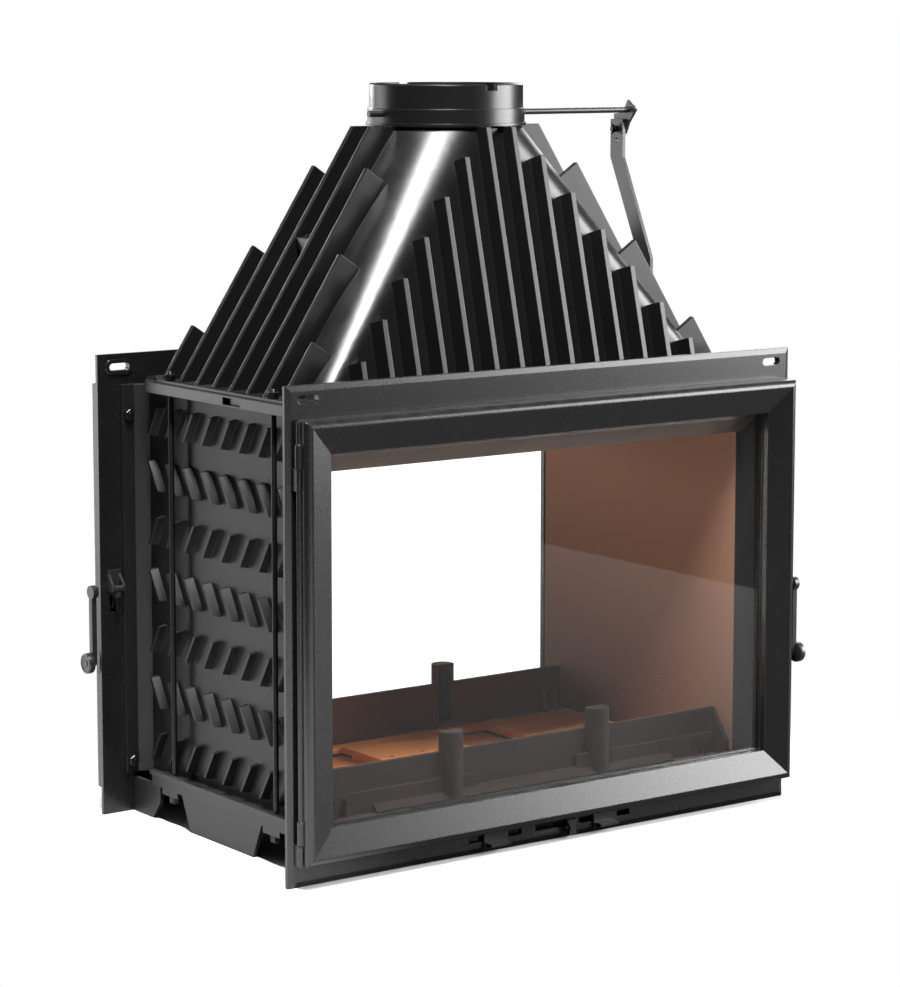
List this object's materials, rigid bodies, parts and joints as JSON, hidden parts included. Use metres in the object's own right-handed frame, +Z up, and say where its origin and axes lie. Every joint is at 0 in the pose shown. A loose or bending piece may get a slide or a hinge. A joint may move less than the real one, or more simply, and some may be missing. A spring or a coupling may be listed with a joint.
{
  "type": "fireplace insert",
  "caption": "Double-sided cast-iron fireplace insert with two glazed hinged doors, a finned smoke hood, a round flue collar with damper, log guards and air sliders.",
  "frame": {"origin": "centre of the plan at floor level, under the feet", "axes": "+X to the right seen from the front, +Y from the front door to the rear door, +Z up"},
  "size_m": [0.818, 0.5152, 0.958],
  "materials": {
    "cast_iron": "matte black stove paint on cast iron",
    "black_steel": "satin black",
    "bright_steel": "blackened fastener steel",
    "glass": "clear ceramic glass with a faint amber tint",
    "rope": "braided heat-proof seal"
  },
  "bodies": {
    "body": {"front_facade": "cast_iron", "front_hinge_pins": "bright_steel", "front_latch_keeper": "black_steel", "front_air_deflector": "black_steel", "rear_facade": "cast_iron", "rear_hinge_pins": "bright_steel", "rear_latch_keeper": "black_steel", "rear_air_deflector": "black_steel", "left_side_wall": "cast_iron", "right_side_wall": "cast_iron", "left_wall_jambs": "cast_iron", "right_wall_jambs": "cast_iron", "front_fascia": "black_steel", "rear_fascia": "black_steel", "base_casting": "cast_iron", "ash_box": "cast_iron", "top_plate": "cast_iron", "hood": "cast_iron", "hood_screws": "bright_steel", "flue_collar": "cast_iron", "tie_rods": "bright_steel", "tie_rod_nuts": "bright_steel", "facade_bolts": "black_steel", "facade_nuts": "bright_steel", "hearth_plate": "cast_iron", "ash_pan": "black_steel", "smoke_baffle": "cast_iron"},
    "front_door": {"front_door_frame": "cast_iron", "front_glass": "glass", "front_glass_ribbon": "rope", "front_glass_retainer": "black_steel", "front_retainer_screws": "black_steel", "front_door_seal": "rope"},
    "front_handle": {"front_latch_cam": "black_steel", "front_handle_lever": "black_steel", "front_handle_knob": "black_steel"},
    "front_log_guard": {"front_log_guard": "cast_iron"},
    "rear_door": {"rear_door_frame": "cast_iron", "rear_glass": "glass", "rear_glass_ribbon": "rope", "rear_glass_retainer": "black_steel", "rear_retainer_screws": "black_steel", "rear_door_seal": "rope"},
    "rear_handle": {"rear_latch_cam": "black_steel", "rear_handle_lever": "black_steel", "rear_handle_knob": "black_steel"},
    "rear_log_guard": {"rear_log_guard": "cast_iron"},
    "damper": {"damper_axle": "black_steel", "damper_plate": "black_steel", "damper_screws": "bright_steel", "damper_crank": "black_steel", "damper_crank_nut": "bright_steel", "damper_link_bolt": "bright_steel", "damper_wing_nut": "bright_steel"},
    "damper_link": {"damper_link": "black_steel"},
    "grate": {"grate": "cast_iron"},
    "left_air_slider": {"left_air_slider": "black_steel"},
    "right_air_slider": {"right_air_slider": "black_steel"},
    "centre_air_lever": {"centre_air_lever": "black_steel"}
  },
  "joints": [
    {"name": "front_door_hinge", "type": "hinge", "parent": "body", "child": "front_door", "pos_m": [-0.3885, -0.2406, 0.3], "axis": [0, 0, -1], "range_deg": [0, 110]},
    {"name": "rear_door_hinge", "type": "hinge", "parent": "body", "child": "rear_door", "pos_m": [0.3885, 0.2406, 0.3], "axis": [0, 0, -1], "range_deg": [0, 110]},
    {"name": "front_handle_turn", "type": "hinge", "parent": "front_door", "child": "front_handle", "pos_m": [0.385, -0.2436, 0.294], "axis": [-1, 0, 0], "range_deg": [0, 35]},
    {"name": "rear_handle_turn", "type": "hinge", "parent": "rear_door", "child": "rear_handle", "pos_m": [-0.385, 0.2436, 0.294], "axis": [1, 0, 0], "range_deg": [0, 35]},
    {"name": "damper_turn", "type": "hinge", "parent": "body", "child": "damper", "pos_m": [0, 0, 0.9195], "axis": [1, 0, 0], "range_deg": [0, 90]},
    {"name": "damper_link_pivot", "type": "hinge", "parent": "damper", "child": "damper_link", "pos_m": [0.302, 0.018, 0.8935], "axis": [1, 0, 0], "range_deg": [-90, 0]},
    {"name": "left_air_slide", "type": "slide", "parent": "body", "child": "left_air_slider", "axis": [1, 0, 0], "range_m": [-0.018, 0.018]},
    {"name": "right_air_slide", "type": "slide", "parent": "body", "child": "right_air_slider", "axis": [1, 0, 0], "range_m": [-0.018, 0.018]},
    {"name": "centre_air_slide", "type": "slide", "parent": "body", "child": "centre_air_lever", "axis": [1, 0, 0], "range_m": [-0.044, 0]},
    {"name": "grate_lift", "type": "slide", "parent": "body", "child": "grate", "axis": [0, 0, 1], "range_m": [0, 0.15]},
    {"name": "front_log_guard_lift", "type": "slide", "parent": "body", "child": "front_log_guard", "axis": [0, 0, 1], "range_m": [0, 0.15]},
    {"name": "rear_log_guard_lift", "type": "slide", "parent": "body", "child": "rear_log_guard", "axis": [0, 0, 1], "range_m": [0, 0.15]}
  ],
  "couplings": [
    {"joint": "damper_link_pivot", "follows": "damper_turn", "ratio": -1}
  ]
}
